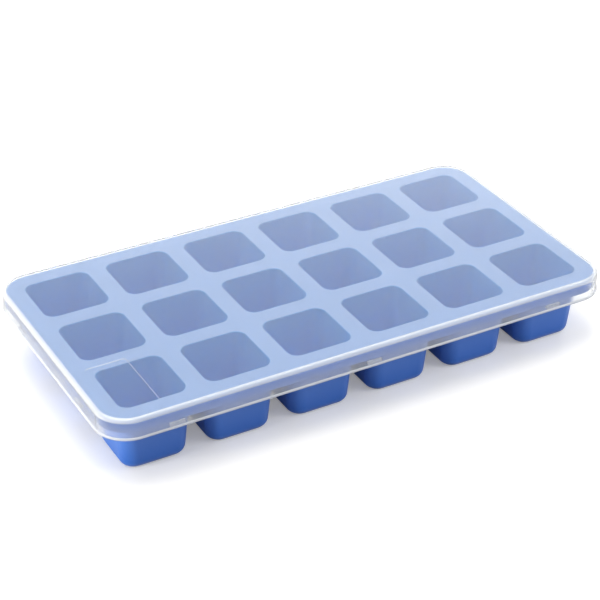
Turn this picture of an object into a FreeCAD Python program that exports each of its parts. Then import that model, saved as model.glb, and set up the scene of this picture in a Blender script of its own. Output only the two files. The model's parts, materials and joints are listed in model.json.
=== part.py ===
import FreeCAD, Part
import os
from math import cos, pi, radians, sin, tan

# Covered ice cube tray: a soft tray of deep square cups under a shallow lid.
# Millimetres, +Z up. The origin is on the table, under the middle of the tray.

# Grid of cavities
COLUMNS = 6
ROWS = 3
PITCH = 39.0
OPENING = 30.0
OPENING_CORNER = 4.8
DRAFT_DEGREES = 4.2

# Cups
CAVITY_DEPTH = 30.0
FLOOR = 2.0
WALL = 1.9
CAVITY_FOOT = 2.6
CUP_FOOT = 4.2

# Tray plate and its turned-down rim
PLATE = 2.0
RIM_MARGIN = 8.6
RIM_CORNER = 12.7
RIM_DEPTH = 5.8
RIM_WALL = 2.0
RIM_BEVEL = 0.8

# Lid, with a thin lip round the foot of its skirt
LID_WALL = 1.3
LID_GAP = 0.5
LID_SKIRT = 8.4
LID_EDGE_ROUND = 2.0
LIP_OUT = 0.4
LIP_HEIGHT = 1.0

# Snap lugs inside the lid's skirt, which catch under the tray's rim
LUG_WIDTH = 7.0
LUG_HEIGHT = 1.5
LUG_CATCH = 0.4
LUG_CLEARANCE = 0.4
LUG_PLACES_X = (-92.5, 0.0, 92.5)
LUG_PLACES_Y = (-31.5, 31.5)

# Blank panel sunk into the lid's top face, in its front left corner
PANEL_WIDTH = 18.6
PANEL_LENGTH = 35.0
PANEL_MARGIN = 6.2
PANEL_CORNER = 1.5
PANEL_DEPTH = 0.25

# Heights above the table, and the rim's plan size, from the sizes above
TRAY_TOP = FLOOR + CAVITY_DEPTH
RIM_FOOT = TRAY_TOP - RIM_DEPTH
LID_TOP = TRAY_TOP + LID_WALL
LID_FOOT = TRAY_TOP - LID_SKIRT
RIM_X = (COLUMNS - 1) * PITCH + OPENING + 2 * RIM_MARGIN
RIM_Y = (ROWS - 1) * PITCH + OPENING + 2 * RIM_MARGIN
LEAN = radians(DRAFT_DEGREES)

# Heights that differ by less than this are the same height
SAME_HEIGHT = 0.001

CENTRE = FreeCAD.Vector(0, 0, 0)
X_AXIS = FreeCAD.Vector(1, 0, 0)
Z_AXIS = FreeCAD.Vector(0, 0, 1)


def rising_edges(solid):
    """Edges that climb from one height to another."""
    return [edge for edge in solid.Edges if edge.BoundBox.ZLength > SAME_HEIGHT]


def edges_at(solid, height):
    """Edges that lie level at this height."""
    level = []
    for edge in solid.Edges:
        box = edge.BoundBox
        if abs(box.ZMin - height) < SAME_HEIGHT and abs(box.ZMax - height) < SAME_HEIGHT:
            level.append(edge)
    return level


def rounded_block(size_x, size_y, corner, low, high):
    """Upright block with round corners, centred over the origin."""
    start = FreeCAD.Vector(-size_x / 2, -size_y / 2, low)
    block = Part.makeBox(size_x, size_y, high - low, start)
    return block.makeFillet(corner, rising_edges(block))


def tapered_block(size, corner, low):
    """Square block under the tray's top that narrows downwards by the draft, with round corners."""
    top = size / 2
    foot = top - tan(LEAN) * (TRAY_TOP - low)
    block = Part.makeWedge(-foot, low, -foot, -top, -top, foot, TRAY_TOP, foot, top, top)
    block.rotate(CENTRE, X_AXIS, 90)
    return block.makeFillet(corner, rising_edges(block))


def foot_prism(size, low, radius):
    """Prism along Y, open wide above, whose section turns a tapered block's foot in by the radius."""
    half_foot = size / 2 - tan(LEAN) * (TRAY_TOP - low)
    arc_x = half_foot + radius * tan(LEAN) - radius / cos(LEAN)
    arc_z = low + radius

    def point(side, x, z):
        return FreeCAD.Vector(side * x, -size, z)

    def arc_point(side, angle):
        return point(side, arc_x + radius * cos(angle), arc_z - radius * sin(angle))

    def half_section(side):
        below = point(side, arc_x, low - radius)
        foot = arc_point(side, pi / 2)
        bend = arc_point(side, (pi / 2 + LEAN) / 2)
        shoulder = arc_point(side, LEAN)
        outside = point(side, size, shoulder.z)
        above = point(side, size, TRAY_TOP + radius)
        return [
            Part.LineSegment(below, foot).toShape(),
            Part.Arc(foot, bend, shoulder).toShape(),
            Part.LineSegment(shoulder, outside).toShape(),
            Part.LineSegment(outside, above).toShape(),
        ], below, above

    left, left_below, left_above = half_section(-1)
    right, right_below, right_above = half_section(1)
    bottom = Part.LineSegment(left_below, right_below).toShape()
    top = Part.LineSegment(right_above, left_above).toShape()
    section = Part.Face(Part.Wire([bottom] + right + [top] + left[::-1]))
    return section.extrude(FreeCAD.Vector(0, 2 * size, 0))


def cup_body(size, corner, low, foot_radius):
    """Tapered block whose foot is turned in on all four sides."""
    along_y = foot_prism(size, low, foot_radius)
    along_x = along_y.copy()
    along_x.rotate(CENTRE, Z_AXIS, 90)
    return tapered_block(size, corner, low).common(along_y).common(along_x)


def at_each_cavity(shape):
    """Copies of the shape at every place in the grid."""
    copies = []
    for column in range(COLUMNS):
        for row in range(ROWS):
            x = (column - (COLUMNS - 1) / 2) * PITCH
            y = (row - (ROWS - 1) / 2) * PITCH
            copy = shape.copy()
            copy.translate(FreeCAD.Vector(x, y, 0))
            copies.append(copy)
    return copies


def make_tray():
    """Plate with a turned-down rim, a cup under each place in the grid, and a cavity in each cup."""
    plate = rounded_block(RIM_X, RIM_Y, RIM_CORNER, RIM_FOOT, TRAY_TOP)
    plate = plate.makeChamfer(RIM_BEVEL, edges_at(plate, TRAY_TOP))
    hollow_x = RIM_X - 2 * RIM_WALL
    hollow_y = RIM_Y - 2 * RIM_WALL
    hollow = rounded_block(hollow_x, hollow_y, RIM_CORNER - RIM_WALL, RIM_FOOT, TRAY_TOP - PLATE)
    cup = cup_body(OPENING + 2 * WALL, OPENING_CORNER + WALL, 0, CUP_FOOT)
    cavity = cup_body(OPENING, OPENING_CORNER, FLOOR, CAVITY_FOOT)
    body = plate.cut(hollow).fuse(at_each_cavity(cup))
    return body.cut(at_each_cavity(cavity)).removeSplitter()


def make_lug():
    """Ridge with a sloping foot, inside the skirt at +X, that catches under the rim."""
    root = RIM_X / 2 + LID_GAP + LID_WALL / 2
    wall = RIM_X / 2 + LID_GAP
    tip = RIM_X / 2 - LUG_CATCH
    top = RIM_FOOT - LUG_CLEARANCE
    foot = top - LUG_HEIGHT
    outline = [(root, foot), (wall, foot), (tip, (foot + top) / 2), (tip, top), (root, top)]
    corners = [FreeCAD.Vector(x, -LUG_WIDTH / 2, z) for x, z in outline]
    section = Part.Face(Part.makePolygon(corners + corners[:1]))
    return section.extrude(FreeCAD.Vector(0, LUG_WIDTH, 0))


def all_lugs():
    """Lugs along the two short sides and the two long sides of the skirt."""
    lugs = []
    to_long_side = (RIM_Y - RIM_X) / 2
    for turn, shift, places in ((0, 0, LUG_PLACES_Y), (90, to_long_side, LUG_PLACES_X)):
        for place in places:
            for half_turn in (0, 180):
                lug = make_lug()
                lug.translate(FreeCAD.Vector(shift, place, 0))
                lug.rotate(CENTRE, Z_AXIS, turn + half_turn)
                lugs.append(lug)
    return lugs


def make_panel():
    """Block that sinks the panel into the lid's top face."""
    low = LID_TOP - PANEL_DEPTH
    high = LID_TOP + PANEL_DEPTH
    panel = rounded_block(PANEL_WIDTH, PANEL_LENGTH, PANEL_CORNER, low, high)
    x = PANEL_MARGIN + PANEL_WIDTH / 2 - RIM_X / 2
    y = PANEL_MARGIN + PANEL_LENGTH / 2 - RIM_Y / 2
    panel.translate(FreeCAD.Vector(x, y, 0))
    return panel


def make_lid():
    """Shallow cover that lies on the plate, with a skirt round the rim."""
    outer_x = RIM_X + 2 * (LID_GAP + LID_WALL)
    outer_y = RIM_Y + 2 * (LID_GAP + LID_WALL)
    outer_corner = RIM_CORNER + LID_GAP + LID_WALL
    shell = rounded_block(outer_x, outer_y, outer_corner, LID_FOOT, LID_TOP)
    shell = shell.makeFillet(LID_EDGE_ROUND, edges_at(shell, LID_TOP))
    lip_x = outer_x + 2 * LIP_OUT
    lip_y = outer_y + 2 * LIP_OUT
    lip = rounded_block(lip_x, lip_y, outer_corner + LIP_OUT, LID_FOOT, LID_FOOT + LIP_HEIGHT)
    inside_x = RIM_X + 2 * LID_GAP
    inside_y = RIM_Y + 2 * LID_GAP
    inside = rounded_block(inside_x, inside_y, RIM_CORNER + LID_GAP, LID_FOOT, TRAY_TOP)
    cover = shell.fuse(lip).cut([inside, make_panel()])
    return cover.fuse(all_lugs()).removeSplitter()


os.makedirs("parts", exist_ok=True)
for name, solid in (("tray", make_tray()), ("lid", make_lid())):
    solid.exportStep("parts/" + name + ".step")
    print(name, "solids", len(solid.Solids), "valid", solid.isValid(), "volume", round(solid.Volume), "mm3")
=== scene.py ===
import json
import math

import bmesh
import bpy
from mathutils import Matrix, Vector


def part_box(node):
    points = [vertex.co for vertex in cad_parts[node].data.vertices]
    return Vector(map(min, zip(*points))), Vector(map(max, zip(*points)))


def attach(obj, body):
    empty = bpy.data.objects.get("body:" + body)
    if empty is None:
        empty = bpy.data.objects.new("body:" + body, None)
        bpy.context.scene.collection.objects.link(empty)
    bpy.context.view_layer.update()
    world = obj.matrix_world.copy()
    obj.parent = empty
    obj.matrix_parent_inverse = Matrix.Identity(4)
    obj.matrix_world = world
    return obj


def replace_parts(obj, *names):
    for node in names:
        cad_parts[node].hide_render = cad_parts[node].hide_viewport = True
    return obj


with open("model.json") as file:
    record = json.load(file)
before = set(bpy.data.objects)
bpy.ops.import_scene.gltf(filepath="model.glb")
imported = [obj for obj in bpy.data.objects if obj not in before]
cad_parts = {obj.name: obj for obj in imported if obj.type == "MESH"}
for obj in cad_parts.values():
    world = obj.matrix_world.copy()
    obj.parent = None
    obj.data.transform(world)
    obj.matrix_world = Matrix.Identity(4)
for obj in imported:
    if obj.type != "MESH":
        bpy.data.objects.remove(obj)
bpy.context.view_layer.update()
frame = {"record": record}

# Covered ice cube tray. Metres, +Z up, in the frame's own place.

# Cups: mouth, wall, draft and floor, and the rounds that turn the cavity and the cup in at the foot
OPENING = 0.0300
OPENING_CORNER = 0.0048
WALL = 0.0019
DRAFT = math.radians(4.2)
FLOOR = 0.0020
CAVITY_FOOT = 0.0026
CUP_FOOT = 0.0042

# Plate and turned-down rim
PLATE = 0.0020
RIM_CORNER = 0.0127
RIM_DEPTH = 0.0058
RIM_WALL = 0.0020

# Small rounds on the tray: cavity mouths, where cups and rim leave the plate, and the rim's two edges
MOUTH_ROUND = 0.0005
ROOT_ROUND = 0.0008
RIM_ROUND = 0.0011
RIM_FOOT_ROUND = 0.0005

# Lid, with the air that keeps its underside off the plate
LID_WALL = 0.0013
LID_GAP = 0.0005
LID_EDGE_ROUND = 0.0020
LID_INNER_ROUND = 0.0007
LIP_OUT = 0.0004
LIP_HEIGHT = 0.0010
LIP_ROUND = 0.0002
AIR = 0.00006

# Lugs inside the lid's skirt
LUG_WIDTH = 0.0070
LUG_HEIGHT = 0.0015
LUG_CATCH = 0.0004
LUG_CLEARANCE = 0.0004
LUG_PLACES_X = (-0.0925, 0.0, 0.0925)
LUG_PLACES_Y = (-0.0315, 0.0315)

# Blank panel sunk into the lid's top face
PANEL_WIDTH = 0.0186
PANEL_LENGTH = 0.0350
PANEL_MARGIN = 0.0062
PANEL_CORNER = 0.0015
PANEL_DEPTH = 0.00025
PANEL_SLOPE = 0.00013

# How finely round stretches are divided
CUP_CORNER_STEPS = 9
RIM_CORNER_STEPS = 16
LID_CORNER_STEPS = 24
ROUND_STEPS = 4
FOOT_STEPS = 8
EDGE_STEPS = 8

# Steps of the lid's round top edge, first and past the last, that show as its pale line: milkier plastic
# that serves as a painted highlight along the edge
EDGE_LINE = (0, 7)

# Weight of large flat faces in the smoothing of normals
FLAT_WEIGHT = 100

# Places of the second materials: the tray's cavities and top face, and the lid's edges
INSIDE = 1
EDGE = 1

# The table's height, and from the frame the other heights and the rim's half size
TRAY_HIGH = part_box("tray")[1]
LID_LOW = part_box("lid")[0]
TRAY_TOP = TRAY_HIGH.z
RIM_X = TRAY_HIGH.x
RIM_Y = TRAY_HIGH.y
LID_TOP = TRAY_TOP + LID_WALL
LID_FOOT = LID_LOW.z
TABLE = 0.0

# Silicone's blues: its clouds run from deep to plain, and between two heights it turns lighter upward,
# painted shade that darkens the cups towards the foot
BLUE = (0.030, 0.150, 0.60)
BLUE_DEEP = (0.026, 0.140, 0.58)
BLUE_PAINTED_LIT_TOP = (0.070, 0.205, 0.66)
# Lit copy of the same silicone for the cavities and the plate's top, much lighter than the outside's blue:
# painted light
BLUE_INSIDE_PAINTED_LIT = (0.05, 0.40, 0.86)
BLUE_INSIDE_PAINTED_LIT_DEEP = (0.045, 0.385, 0.84)
PAINTED_SHADE_HEIGHTS = (0.004, 0.018)

# Painted sheen on the silicone: a paler blue for light on the plate's top and the rim's upper edge under
# the lid, and how far below the plate's top it reaches in the cavities and on the rim
BLUE_PAINTED_SHEEN = (0.305, 0.475, 0.80)
PAINTED_SHEEN_DEPTH = 0.0003
RIM_PAINTED_SHEEN_DEPTH = 0.0019

# Silicone's surface
SILICONE_CLOUD = 60
SILICONE_GRAIN = 3000
SILICONE_BUMP = 0.15
SILICONE_ROUGHNESS = (0.42, 0.50)
SILICONE_IOR = 1.42
SILICONE_GLOSS = 0.8
SILICONE_SHEEN = 0.3
INSIDE_GLOSS = 0.5
INSIDE_SHEEN = 0.15
SHEEN_ROUGHNESS = 0.45
SHEEN_TINT = (0.80, 0.90, 1.0)

# Frosted plastic: colours, surface, and the shares of light let through at the skirt's foot and the top
FROST = (0.95, 0.97, 0.99)
FROST_DEEP = (0.94, 0.96, 0.985)
FROST_CLOUD = 40
FROST_GRAIN = 2500
FROST_BUMP = 0.1
FROST_ROUGHNESS = (0.16, 0.20)
FROST_IOR = 1.40
FROST_GLOSS = 0.38
WALL_SHARES = (0.80, 0.96)
# Milkier plastic for the lid's pale lines, lip, panel walls and lugs; on the round edge and the lip its
# paleness serves as a painted highlight
EDGE_SHARES = (0.35, 0.55)

# Detail of the cloud and grain textures, the values that grain mostly takes, and its height
CLOUD_DETAIL = 3
GRAIN_DETAIL = 2
GRAIN_VALUES = (0.3, 0.7)
GRAIN_HEIGHT = 0.0001

# Floor: size, colour and roughness, the light that it adds where it is seen, and its colour in the
# light that it gives back
FLOOR_SIZE = 8.0
FLOOR_WHITE = (0.965, 0.95, 0.915)
FLOOR_ROUGHNESS = 0.9
FLOOR_LIFT = 0.24
FLOOR_BOUNCE = (0.26, 0.29, 0.35)

# World, as light and as seen
WORLD_LIGHT = (0.98, 0.98, 0.965)
WORLD_STRENGTH = 0.55
WORLD_SEEN = (1.0, 1.0, 1.0)
SEEN_STRENGTH = 1.0

# Lamps: name, place, width, height, watts, colour, and whether gloss and the lid show it.
# The low ones aren't shown, because from the far side they would wash out the lid's top.
WHITE_LIGHT = (1.0, 1.0, 1.0)
WARM_LIGHT = (1.0, 0.97, 0.90)
LAMPS = (
    ("overhead", (-0.15, 0.22, 1.4), 1.2, 1.2, 11.4, WHITE_LIGHT, True),
    ("left", (-1.4, 0.0, 0.22), 0.4, 0.4, 16, WARM_LIGHT, False),
    ("back_left", (-1.0, 1.4, 0.8), 1.2, 1.2, 5, WHITE_LIGHT, True),
    ("back_right", (0.887, 1.67, 0.651), 2.3, 0.66, 6.6, WHITE_LIGHT, True),
    ("rim", (1.1, 1.25, 0.1), 0.5, 0.15, 12, WHITE_LIGHT, False),
    ("front_right", (0.45, -0.42, 0.28), 0.3, 0.3, 1.25, WHITE_LIGHT, False),
)

# Camera, with its angles in radians, and its lens and sensor in millimetres
CAMERA_TARGET = Vector((-0.00922, -0.01449, 0.0320))
CAMERA_DISTANCE = 0.78708
CAMERA_AZIMUTH = -0.5043
CAMERA_ELEVATION = 0.5519
CAMERA_LENS = 107.24
CAMERA_SENSOR = 36


# Mesh building


def ring(bm, half_x, half_y, corner, height, steps, middle=(0, 0)):
    """Vertices of a level rounded rectangle, counter-clockwise from its right side."""
    vertices = []
    for quarter, (side_x, side_y) in enumerate(((1, 1), (-1, 1), (-1, -1), (1, -1))):
        centre_x = middle[0] + side_x * (half_x - corner)
        centre_y = middle[1] + side_y * (half_y - corner)
        for step in range(steps + 1):
            angle = math.pi / 2 * (quarter + step / steps)
            x = centre_x + corner * math.cos(angle)
            y = centre_y + corner * math.sin(angle)
            vertices.append(bm.verts.new((x, y, height)))
    return vertices


def loft(bm, rings):
    """Walls between each ring and the next. Returns their faces."""
    faces = []
    for first, second in zip(rings, rings[1:]):
        for i in range(len(first)):
            j = (i + 1) % len(first)
            faces.append(bm.faces.new((first[i], first[j], second[j], second[i])))
    return faces


def fill_between(bm, rings):
    """Flat faces inside the first ring, with a hole at each of the others. Returns them."""
    edges = []
    for vertices in rings:
        for i, vertex in enumerate(vertices):
            edges.append(bm.edges.get((vertex, vertices[(i + 1) % len(vertices)])))
    made = bmesh.ops.triangle_fill(bm, edges=edges, use_beauty=True)["geom"]
    return [item for item in made if isinstance(item, bmesh.types.BMFace)]


def give_material(faces, place):
    """Put the material at this place on the faces."""
    for face in faces:
        face.material_index = place


def quarter_turn(steps, start=0.0):
    """Angles from start to a right angle."""
    return [start + (math.pi / 2 - start) * step / steps for step in range(steps + 1)]


def quarter_round(radius, steps=ROUND_STEPS):
    """Pairs of distances round a corner: the first falls from the radius to 0 as the second rises to it."""
    pairs = []
    for angle in quarter_turn(steps):
        pairs.append((radius * (1 - math.sin(angle)), radius * (1 - math.cos(angle))))
    return pairs


def link_object(name, data):
    """Object with this data, in the scene."""
    made = bpy.data.objects.new(name, data)
    bpy.context.scene.collection.objects.link(made)
    return made


def mesh_from(name, bm):
    """Mesh with outward faces from the builder, which is freed."""
    bmesh.ops.recalc_face_normals(bm, faces=bm.faces)
    mesh = bpy.data.meshes.new(name)
    bm.to_mesh(mesh)
    bm.free()
    return mesh


def new_piece(name, bm, materials):
    """Object on the frame's body from a closed mesh, smooth, with its flat faces kept flat."""
    mesh = mesh_from(name, bm)
    mesh.shade_smooth()
    for material in materials:
        mesh.materials.append(material)
    piece = link_object(name, mesh)
    weighted = piece.modifiers.new("flat_faces", "WEIGHTED_NORMAL")
    weighted.keep_sharp = True
    weighted.weight = FLAT_WEIGHT
    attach(piece, "root")
    return piece


# Tray


def cavity_middles():
    """Where each cavity's middle is, from the openings that the frame's record states."""
    middles = []
    for opening in frame["record"]["physics"]["openings"]:
        low, high = opening["box_m"]
        middles.append(((low[0] + high[0]) / 2, (low[1] + high[1]) / 2))
    return middles


def wall_half(size, height):
    """Half width of a drafted wall at this height."""
    return size / 2 - math.tan(DRAFT) * (TRAY_TOP - height)


def foot_rings(bm, size, corner, low, radius, middle):
    """Rings that turn a drafted wall in to a flat foot."""
    arc_half = wall_half(size, low) + radius * math.tan(DRAFT) - radius / math.cos(DRAFT)
    wall = arc_half + radius * math.cos(DRAFT)
    rings = []
    for angle in quarter_turn(FOOT_STEPS, DRAFT):
        half = arc_half + radius * math.cos(angle)
        height = low + radius * (1 - math.sin(angle))
        rings.append(ring(bm, half, half, corner - (wall - half), height, CUP_CORNER_STEPS, middle))
    return rings


def cavity(bm, middle):
    """Inside of one cup. Returns the ring at its mouth, level with the plate's top."""
    rings = []
    for out, down in quarter_round(MOUTH_ROUND):
        half = OPENING / 2 + out
        rings.append(ring(bm, half, half, OPENING_CORNER + out, TRAY_TOP - down, CUP_CORNER_STEPS, middle))
    rings += foot_rings(bm, OPENING, OPENING_CORNER, FLOOR, CAVITY_FOOT, middle)
    give_material(loft(bm, rings) + [bm.faces.new(rings[-1])], INSIDE)
    return rings[0]


def cup(bm, middle):
    """Outside of one cup. Returns the ring where it meets the plate's underside."""
    size = OPENING + 2 * WALL
    corner = OPENING_CORNER + WALL
    under = TRAY_TOP - PLATE
    rings = []
    for out, down in quarter_round(ROOT_ROUND):
        half = wall_half(size, under - down) + out
        rings.append(ring(bm, half, half, corner + out, under - down, CUP_CORNER_STEPS, middle))
    rings += foot_rings(bm, size, corner, TABLE, CUP_FOOT, middle)
    loft(bm, rings)
    bm.faces.new(rings[-1])
    return rings[0]


def rim_ring(bm, inset, height):
    """Ring of the rim at this distance in from its outside."""
    return ring(bm, RIM_X - inset, RIM_Y - inset, RIM_CORNER - inset, height, RIM_CORNER_STEPS)


def rim(bm):
    """Turned-down rim. Returns its rings at the plate's top and at the plate's underside."""
    foot = TRAY_TOP - RIM_DEPTH
    under = TRAY_TOP - PLATE
    rings = []
    for inset, down in quarter_round(RIM_ROUND):
        rings.append(rim_ring(bm, inset, TRAY_TOP - down))
    for up, inset in quarter_round(RIM_FOOT_ROUND):
        rings.append(rim_ring(bm, inset, foot + up))
    for back, up in quarter_round(RIM_FOOT_ROUND):
        rings.append(rim_ring(bm, RIM_WALL - back, foot + up))
    for down, further in quarter_round(ROOT_ROUND):
        rings.append(rim_ring(bm, RIM_WALL + further, under - down))
    loft(bm, rings)
    return rings[0], rings[-1]


def make_tray(outside, inside):
    """Soft tray: plate, rim and cups in one closed mesh."""
    bm = bmesh.new()
    middles = cavity_middles()
    top, under = rim(bm)
    give_material(fill_between(bm, [top] + [cavity(bm, middle) for middle in middles]), INSIDE)
    fill_between(bm, [under] + [cup(bm, middle) for middle in middles])
    return new_piece("soft_tray", bm, [outside, inside])


# Lid


def lid_ring(bm, outset, height):
    """Ring of the lid at this distance out from the rim's outside."""
    corner = RIM_CORNER + outset
    return ring(bm, RIM_X + outset, RIM_Y + outset, corner, height, LID_CORNER_STEPS)


def lid_wall_rings(bm):
    """Rings from the lid's top face over its edge, skirt and lip to its inside.

    Returns the rings, with which of the walls between them are pale.
    """
    outside = LID_GAP + LID_WALL
    lip = outside + LIP_OUT
    lip_top = LID_FOOT + LIP_HEIGHT
    under = TRAY_TOP + AIR
    rings = []
    for back, down in quarter_round(LID_EDGE_ROUND, EDGE_STEPS):
        rings.append(lid_ring(bm, outside - back, LID_TOP - down))
    # Pale steps: milkier plastic serving as a painted highlight on the round edge, and below on the lip
    pale = list(range(*EDGE_LINE))
    lip_start = len(rings)
    rings.append(lid_ring(bm, outside, lip_top + LIP_ROUND))
    for back, down in quarter_round(LIP_ROUND):
        rings.append(lid_ring(bm, lip - back, lip_top - down))
    pale += list(range(lip_start, len(rings)))
    for up, back in quarter_round(LIP_ROUND):
        rings.append(lid_ring(bm, lip - back, LID_FOOT + up))
    for out, up in quarter_round(LIP_ROUND):
        rings.append(lid_ring(bm, LID_GAP + out, LID_FOOT + up))
    for down, inward in quarter_round(LID_INNER_ROUND):
        rings.append(lid_ring(bm, LID_GAP - inward, under - down))
    return rings, pale


def panel_rings(bm):
    """Rings of the sunk panel, from the lid's top face down to the panel's own."""
    middle_x = PANEL_MARGIN + PANEL_WIDTH / 2 - RIM_X
    middle_y = PANEL_MARGIN + PANEL_LENGTH / 2 - RIM_Y
    middle = (middle_x, middle_y)
    rings = []
    for inset, sink in ((0, 0), (PANEL_SLOPE, PANEL_DEPTH)):
        half_x = PANEL_WIDTH / 2 - inset
        half_y = PANEL_LENGTH / 2 - inset
        corner = PANEL_CORNER - inset
        rings.append(ring(bm, half_x, half_y, corner, LID_TOP - sink, CUP_CORNER_STEPS, middle))
    return rings


def lug(bm, turn, to_rim, along):
    """Ridge with a sloping foot, inside the skirt on the side that this turn about Z points to."""
    root = to_rim + LID_GAP + LID_WALL / 2
    wall = to_rim + LID_GAP
    tip = to_rim - LUG_CATCH
    top = TRAY_TOP - RIM_DEPTH - LUG_CLEARANCE
    foot = top - LUG_HEIGHT
    outline = [(root, foot), (wall, foot), (tip, (foot + top) / 2), (tip, top), (root, top)]
    ends = []
    for y in (along - LUG_WIDTH / 2, along + LUG_WIDTH / 2):
        end = []
        for x, height in outline:
            turned_x = x * math.cos(turn) - y * math.sin(turn)
            turned_y = x * math.sin(turn) + y * math.cos(turn)
            end.append(bm.verts.new((turned_x, turned_y, height)))
        ends.append(end)
    give_material(loft(bm, ends) + [bm.faces.new(ends[0]), bm.faces.new(ends[1])], EDGE)


def all_lugs():
    """Object of all the lugs, for joining to the lid."""
    bm = bmesh.new()
    for turn, to_rim, places in ((0, RIM_X, LUG_PLACES_Y), (math.pi / 2, RIM_Y, LUG_PLACES_X)):
        for half_turn in (0, math.pi):
            for along in places:
                lug(bm, turn + half_turn, to_rim, along)
    return link_object("lugs", mesh_from("lugs", bm))


def join(piece, other):
    """Make another object part of the piece's own mesh."""
    union = piece.modifiers.new("join", "BOOLEAN")
    union.operation = "UNION"
    union.solver = "EXACT"
    union.object = other
    piece.modifiers.move(len(piece.modifiers) - 1, 0)
    bpy.context.view_layer.update()
    depsgraph = bpy.context.evaluated_depsgraph_get()
    joined = bpy.data.meshes.new_from_object(piece.evaluated_get(depsgraph))
    piece.modifiers.clear()
    piece.data = joined
    bpy.data.objects.remove(other)


def make_lid(plastic, edges):
    """Frosted lid with its lip, panel and lugs in one closed mesh."""
    bm = bmesh.new()
    rings, pale = lid_wall_rings(bm)
    for i in range(len(rings) - 1):
        walls = loft(bm, rings[i:i + 2])
        if i in pale:
            give_material(walls, EDGE)
    bm.faces.new(rings[-1])
    panel = panel_rings(bm)
    give_material(loft(bm, panel), EDGE)
    bm.faces.new(panel[-1])
    fill_between(bm, [rings[0], panel[0]])
    lid = new_piece("frosted_lid", bm, [plastic, edges])
    join(lid, all_lugs())
    return lid


# Materials


def opaque(colour):
    """Colour with full alpha, as sockets take it."""
    return (*colour, 1)


def new_material(name):
    """Empty node material with a Principled shader. Returns it, its nodes, links and that shader."""
    material = bpy.data.materials.new(name)
    material.use_nodes = True
    nodes = material.node_tree.nodes
    return material, nodes, material.node_tree.links, nodes["Principled BSDF"]


def object_place(nodes, links):
    """Place in the object's own space, whole and as its separate X, Y and Z."""
    place = nodes.new("ShaderNodeTexCoord").outputs["Object"]
    split = nodes.new("ShaderNodeSeparateXYZ")
    links.new(place, split.inputs["Vector"])
    return place, split.outputs


def noise(nodes, links, place, scale, detail):
    """Noise of this scale at each place."""
    texture = nodes.new("ShaderNodeTexNoise")
    texture.inputs["Scale"].default_value = scale
    texture.inputs["Detail"].default_value = detail
    links.new(place, texture.inputs["Vector"])
    return texture.outputs["Fac"]


def mapped(nodes, links, source, from_range, to_range):
    """Value taken from one range to another."""
    node = nodes.new("ShaderNodeMapRange")
    node.inputs["From Min"].default_value, node.inputs["From Max"].default_value = from_range
    node.inputs["To Min"].default_value, node.inputs["To Max"].default_value = to_range
    links.new(source, node.inputs["Value"])
    return node.outputs["Result"]


def mixed_colour(nodes, links, factor, first, second):
    """Colour between two, by a factor. The first may be another node's output."""
    node = nodes.new("ShaderNodeMix")
    node.data_type = "RGBA"
    links.new(factor, node.inputs["Factor"])
    if isinstance(first, bpy.types.NodeSocket):
        links.new(first, node.inputs["A"])
    else:
        node.inputs["A"].default_value = opaque(first)
    node.inputs["B"].default_value = opaque(second)
    return node.outputs["Result"]


def grain(nodes, links, shader, place, scale, bump_strength, roughness):
    """Fine grain, as bump and as variation of the roughness."""
    fine = noise(nodes, links, place, scale, GRAIN_DETAIL)
    links.new(mapped(nodes, links, fine, GRAIN_VALUES, roughness), shader.inputs["Roughness"])
    bump = nodes.new("ShaderNodeBump")
    bump.inputs["Strength"].default_value = bump_strength
    bump.inputs["Distance"].default_value = GRAIN_HEIGHT
    links.new(fine, bump.inputs["Height"])
    links.new(bump.outputs["Normal"], shader.inputs["Normal"])


def silicone(name, deep, plain, painted_lit_top, painted_sheen_depth, gloss, sheen):
    """Satin silicone, lighter with height as painted shade, with a paler painted sheen down to a depth
    under the plate's top.
    """
    material, nodes, links, shader = new_material(name)
    place, axes = object_place(nodes, links)
    cloud = noise(nodes, links, place, SILICONE_CLOUD, CLOUD_DETAIL)
    body = mixed_colour(nodes, links, cloud, deep, plain)
    # Painted shade: lighter with height, darker towards the cups' foot
    painted_shade_rise = mapped(nodes, links, axes["Z"], PAINTED_SHADE_HEIGHTS, (0, 1))
    body = mixed_colour(nodes, links, painted_shade_rise, body, painted_lit_top)
    # Painted sheen: paler blue near the plate's top
    painted_sheen = mapped(nodes, links, axes["Z"], (TRAY_TOP - painted_sheen_depth, TRAY_TOP), (0, 1))
    body = mixed_colour(nodes, links, painted_sheen, body, BLUE_PAINTED_SHEEN)
    links.new(body, shader.inputs["Base Color"])
    grain(nodes, links, shader, place, SILICONE_GRAIN, SILICONE_BUMP, SILICONE_ROUGHNESS)
    shader.inputs["IOR"].default_value = SILICONE_IOR
    shader.inputs["Specular IOR Level"].default_value = gloss
    shader.inputs["Sheen Weight"].default_value = sheen
    shader.inputs["Sheen Roughness"].default_value = SHEEN_ROUGHNESS
    shader.inputs["Sheen Tint"].default_value = opaque(SHEEN_TINT)
    return material


def frosted_plastic(name, shares):
    """Translucent frosted plastic that lets these shares of light through at its foot and its top."""
    material, nodes, links, shader = new_material(name)
    place, axes = object_place(nodes, links)
    cloud = noise(nodes, links, place, FROST_CLOUD, CLOUD_DETAIL)
    links.new(mixed_colour(nodes, links, cloud, FROST_DEEP, FROST), shader.inputs["Base Color"])
    grain(nodes, links, shader, place, FROST_GRAIN, FROST_BUMP, FROST_ROUGHNESS)
    shader.inputs["IOR"].default_value = FROST_IOR
    shader.inputs["Specular IOR Level"].default_value = FROST_GLOSS
    through = mapped(nodes, links, axes["Z"], (LID_FOOT, TRAY_TOP), shares)
    links.new(through, shader.inputs["Transmission Weight"])
    return material


# Stage, light and camera


def larger(nodes, links, first, second):
    """The larger of two values."""
    node = nodes.new("ShaderNodeMath")
    node.operation = "MAXIMUM"
    links.new(first, node.inputs[0])
    links.new(second, node.inputs[1])
    return node.outputs["Value"]


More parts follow.
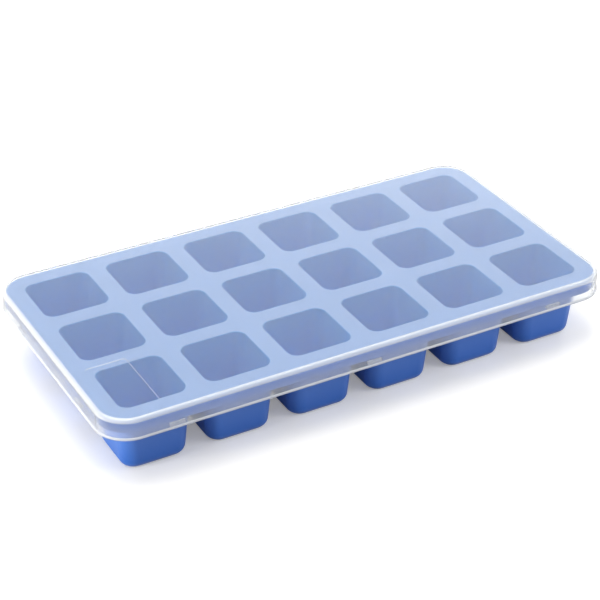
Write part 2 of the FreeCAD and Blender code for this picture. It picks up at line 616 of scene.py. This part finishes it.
def either_shader(nodes, links, choice, if_not, if_so):
    """The first of two shaders where the choice is 0, and the second where it is 1."""
    node = nodes.new("ShaderNodeMixShader")
    links.new(choice, node.inputs["Fac"])
    links.new(if_not, node.inputs[1])
    links.new(if_so, node.inputs[2])
    return node.outputs["Shader"]


def floor_material():
    """White where it is seen, and a darker blue-grey in the light that it gives back."""
    material, nodes, links, shader = new_material("floor")
    shader.inputs["Base Color"].default_value = opaque(FLOOR_WHITE)
    shader.inputs["Roughness"].default_value = FLOOR_ROUGHNESS
    shader.inputs["Specular IOR Level"].default_value = 0.0
    light = nodes.new("ShaderNodeEmission")
    light.inputs["Strength"].default_value = FLOOR_LIFT
    lifted = nodes.new("ShaderNodeAddShader")
    plain = shader.outputs["BSDF"]
    links.new(plain, lifted.inputs[0])
    links.new(light.outputs["Emission"], lifted.inputs[1])
    bounce = nodes.new("ShaderNodeBsdfDiffuse")
    bounce.inputs["Color"].default_value = opaque(FLOOR_BOUNCE)
    rays = nodes.new("ShaderNodeLightPath").outputs
    unseen = either_shader(nodes, links, rays["Is Glossy Ray"], bounce.outputs["BSDF"], plain)
    seen = larger(nodes, links, rays["Is Camera Ray"], rays["Is Transmission Ray"])
    surface = either_shader(nodes, links, seen, unseen, lifted.outputs["Shader"])
    links.new(surface, nodes["Material Output"].inputs["Surface"])
    return material


def make_floor():
    """White floor that keeps the soft shadow."""
    half = FLOOR_SIZE / 2
    mesh = bpy.data.meshes.new("floor")
    corners = [(-half, -half, TABLE), (half, -half, TABLE), (half, half, TABLE), (-half, half, TABLE)]
    mesh.from_pydata(corners, [], [(0, 1, 2, 3)])
    mesh.materials.append(floor_material())
    floor = link_object("floor", mesh)


def make_world():
    """Even white surroundings: white where seen, plainer as light."""
    world = bpy.data.worlds.new("studio")
    bpy.context.scene.world = world
    world.use_nodes = True
    nodes = world.node_tree.nodes
    links = world.node_tree.links
    background = nodes["Background"]
    background.inputs["Color"].default_value = opaque(WORLD_LIGHT)
    background.inputs["Strength"].default_value = WORLD_STRENGTH
    white = nodes.new("ShaderNodeBackground")
    white.inputs["Color"].default_value = opaque(WORLD_SEEN)
    white.inputs["Strength"].default_value = SEEN_STRENGTH
    rays = nodes.new("ShaderNodeLightPath").outputs
    seen = larger(nodes, links, rays["Is Camera Ray"], rays["Is Glossy Ray"])
    seen = larger(nodes, links, seen, rays["Is Transmission Ray"])
    as_light = background.outputs["Background"]
    surface = either_shader(nodes, links, seen, as_light, white.outputs["Background"])
    links.new(surface, nodes["World Output"].inputs["Surface"])


def soft_lamp(name, place, width, height, watts, colour, shown):
    """Rectangular lamp that points at the origin, and that gloss and the lid show or don't show."""
    data = bpy.data.lights.new(name, "AREA")
    data.shape = "RECTANGLE"
    data.size = width
    data.size_y = height
    data.energy = watts
    data.color = colour
    lamp = link_object(name, data)
    lamp.location = place
    lamp.rotation_euler = (-Vector(place)).to_track_quat("-Z", "Y").to_euler()
    lamp.visible_glossy = shown
    lamp.visible_transmission = shown


def make_camera():
    """Camera at the photograph's place."""
    data = bpy.data.cameras.new("camera")
    data.lens = CAMERA_LENS
    data.sensor_width = CAMERA_SENSOR
    camera = link_object("camera", data)
    flat = math.cos(CAMERA_ELEVATION)
    back = Vector((
        math.sin(CAMERA_AZIMUTH) * flat,
        -math.cos(CAMERA_AZIMUTH) * flat,
        math.sin(CAMERA_ELEVATION),
    ))
    camera.location = CAMERA_TARGET + CAMERA_DISTANCE * back
    camera.rotation_euler = (math.pi / 2 - CAMERA_ELEVATION, 0, CAMERA_AZIMUTH)
    bpy.context.scene.camera = camera


bpy.context.scene.view_settings.view_transform = "Standard"
outside = silicone(
    "silicone", BLUE_DEEP, BLUE, BLUE_PAINTED_LIT_TOP, RIM_PAINTED_SHEEN_DEPTH, SILICONE_GLOSS, SILICONE_SHEEN
)
# The cavities and the plate's top get the lit copy of the blue: painted light
inside = silicone(
    "silicone_inside_painted_lit", BLUE_INSIDE_PAINTED_LIT_DEEP, BLUE_INSIDE_PAINTED_LIT, BLUE_INSIDE_PAINTED_LIT, PAINTED_SHEEN_DEPTH, INSIDE_GLOSS, INSIDE_SHEEN
)
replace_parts(make_tray(outside, inside), "tray")
plastic = frosted_plastic("frosted_plastic", WALL_SHARES)
edges = frosted_plastic("frosted_edge", EDGE_SHARES)
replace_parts(make_lid(plastic, edges), "lid")
make_floor()
make_world()
for lamp in LAMPS:
    soft_lamp(*lamp)
make_camera()
